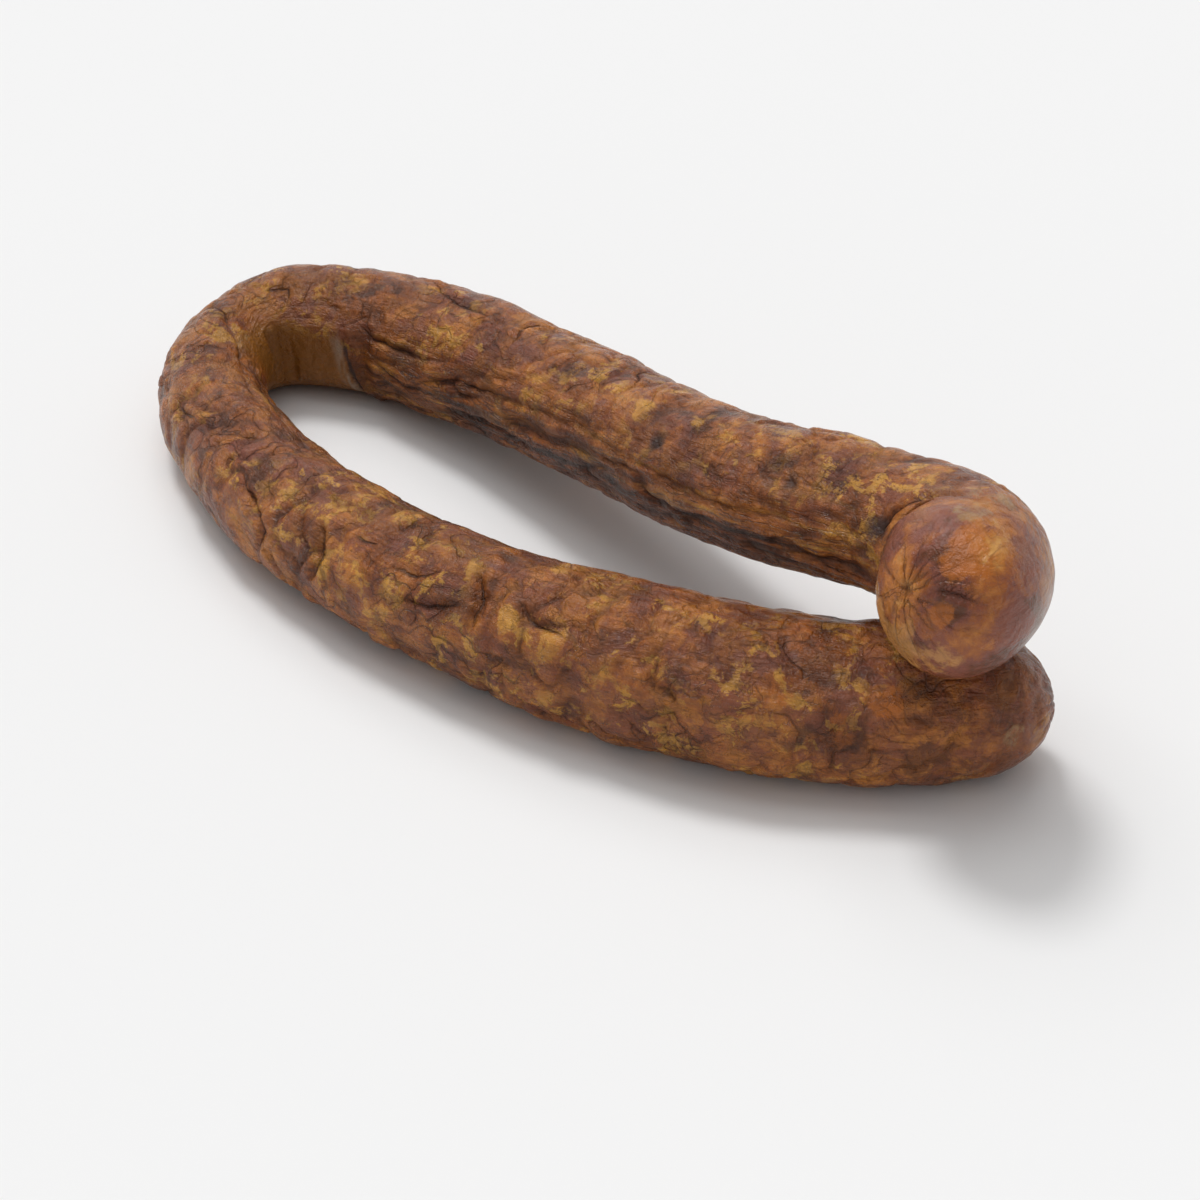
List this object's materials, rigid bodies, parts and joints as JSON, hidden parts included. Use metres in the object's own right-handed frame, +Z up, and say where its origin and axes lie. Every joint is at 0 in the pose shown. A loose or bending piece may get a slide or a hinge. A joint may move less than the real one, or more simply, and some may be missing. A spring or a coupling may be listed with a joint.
{
  "type": "cured sausage",
  "caption": "Smoked, dried sausage in a wrinkled natural casing, set in a long horseshoe, lying with its hooked end on top of its other end.",
  "frame": {"origin": "middle of the whole sausage in plan, on the surface that it lies on", "axes": "+X along the loop from its bend to its two ends, +Y from the front arm to the rear arm, +Z up"},
  "size_m": [0.2722, 0.1096, 0.074],
  "materials": {
    "smoked_casing": "dried natural casing, mottled amber to red-brown from smoke, wrinkled, with a soft greasy sheen"
  },
  "bodies": {
    "root": {"sausage": "smoked_casing"}
  },
  "joints": []
}
